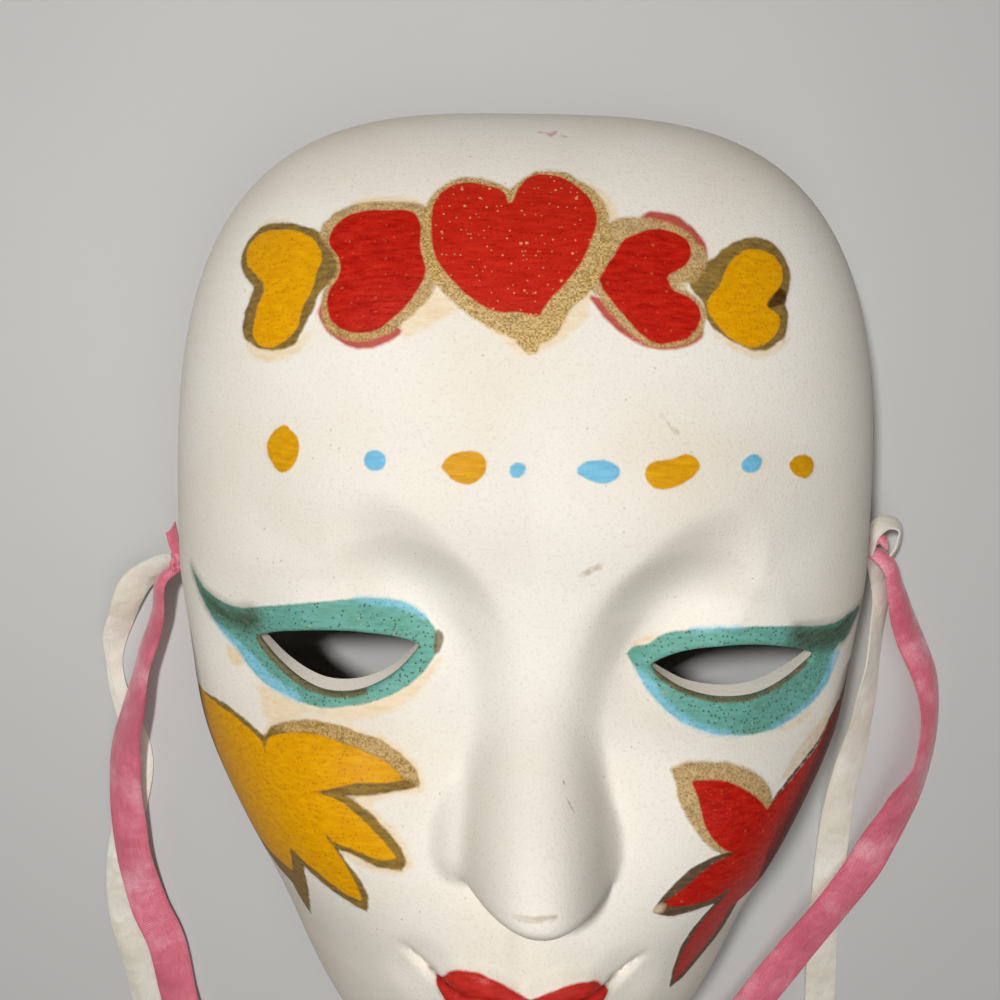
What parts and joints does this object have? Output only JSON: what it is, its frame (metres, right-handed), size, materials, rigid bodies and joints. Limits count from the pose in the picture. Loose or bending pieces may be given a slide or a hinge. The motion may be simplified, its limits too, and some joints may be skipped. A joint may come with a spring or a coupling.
{
  "type": "masquerade mask",
  "caption": "Hand-painted slip-cast ceramic face mask with open eyes, hearts and petals on white bisque, and pink and ivory satin ribbon ties at both temples.",
  "frame": {"origin": "on the surface that the rim lies on, at the middle of the mask's width and length", "axes": "+Z out of the face, +Y from the chin to the forehead, +X to the viewer's right"},
  "size_m": [0.191, 0.2936, 0.0774],
  "materials": {
    "bisque": "matt white bisque, hand painted",
    "pink_satin": "satin ribbon",
    "ivory_satin": "satin ribbon"
  },
  "bodies": {
    "root": {"mask": "bisque", "knot_left": "pink_satin", "knot_right": "pink_satin", "ribbon_pink_left": "pink_satin", "ribbon_ivory_left": "ivory_satin", "ribbon_pink_right": "pink_satin", "ribbon_ivory_right": "ivory_satin"}
  },
  "joints": []
}
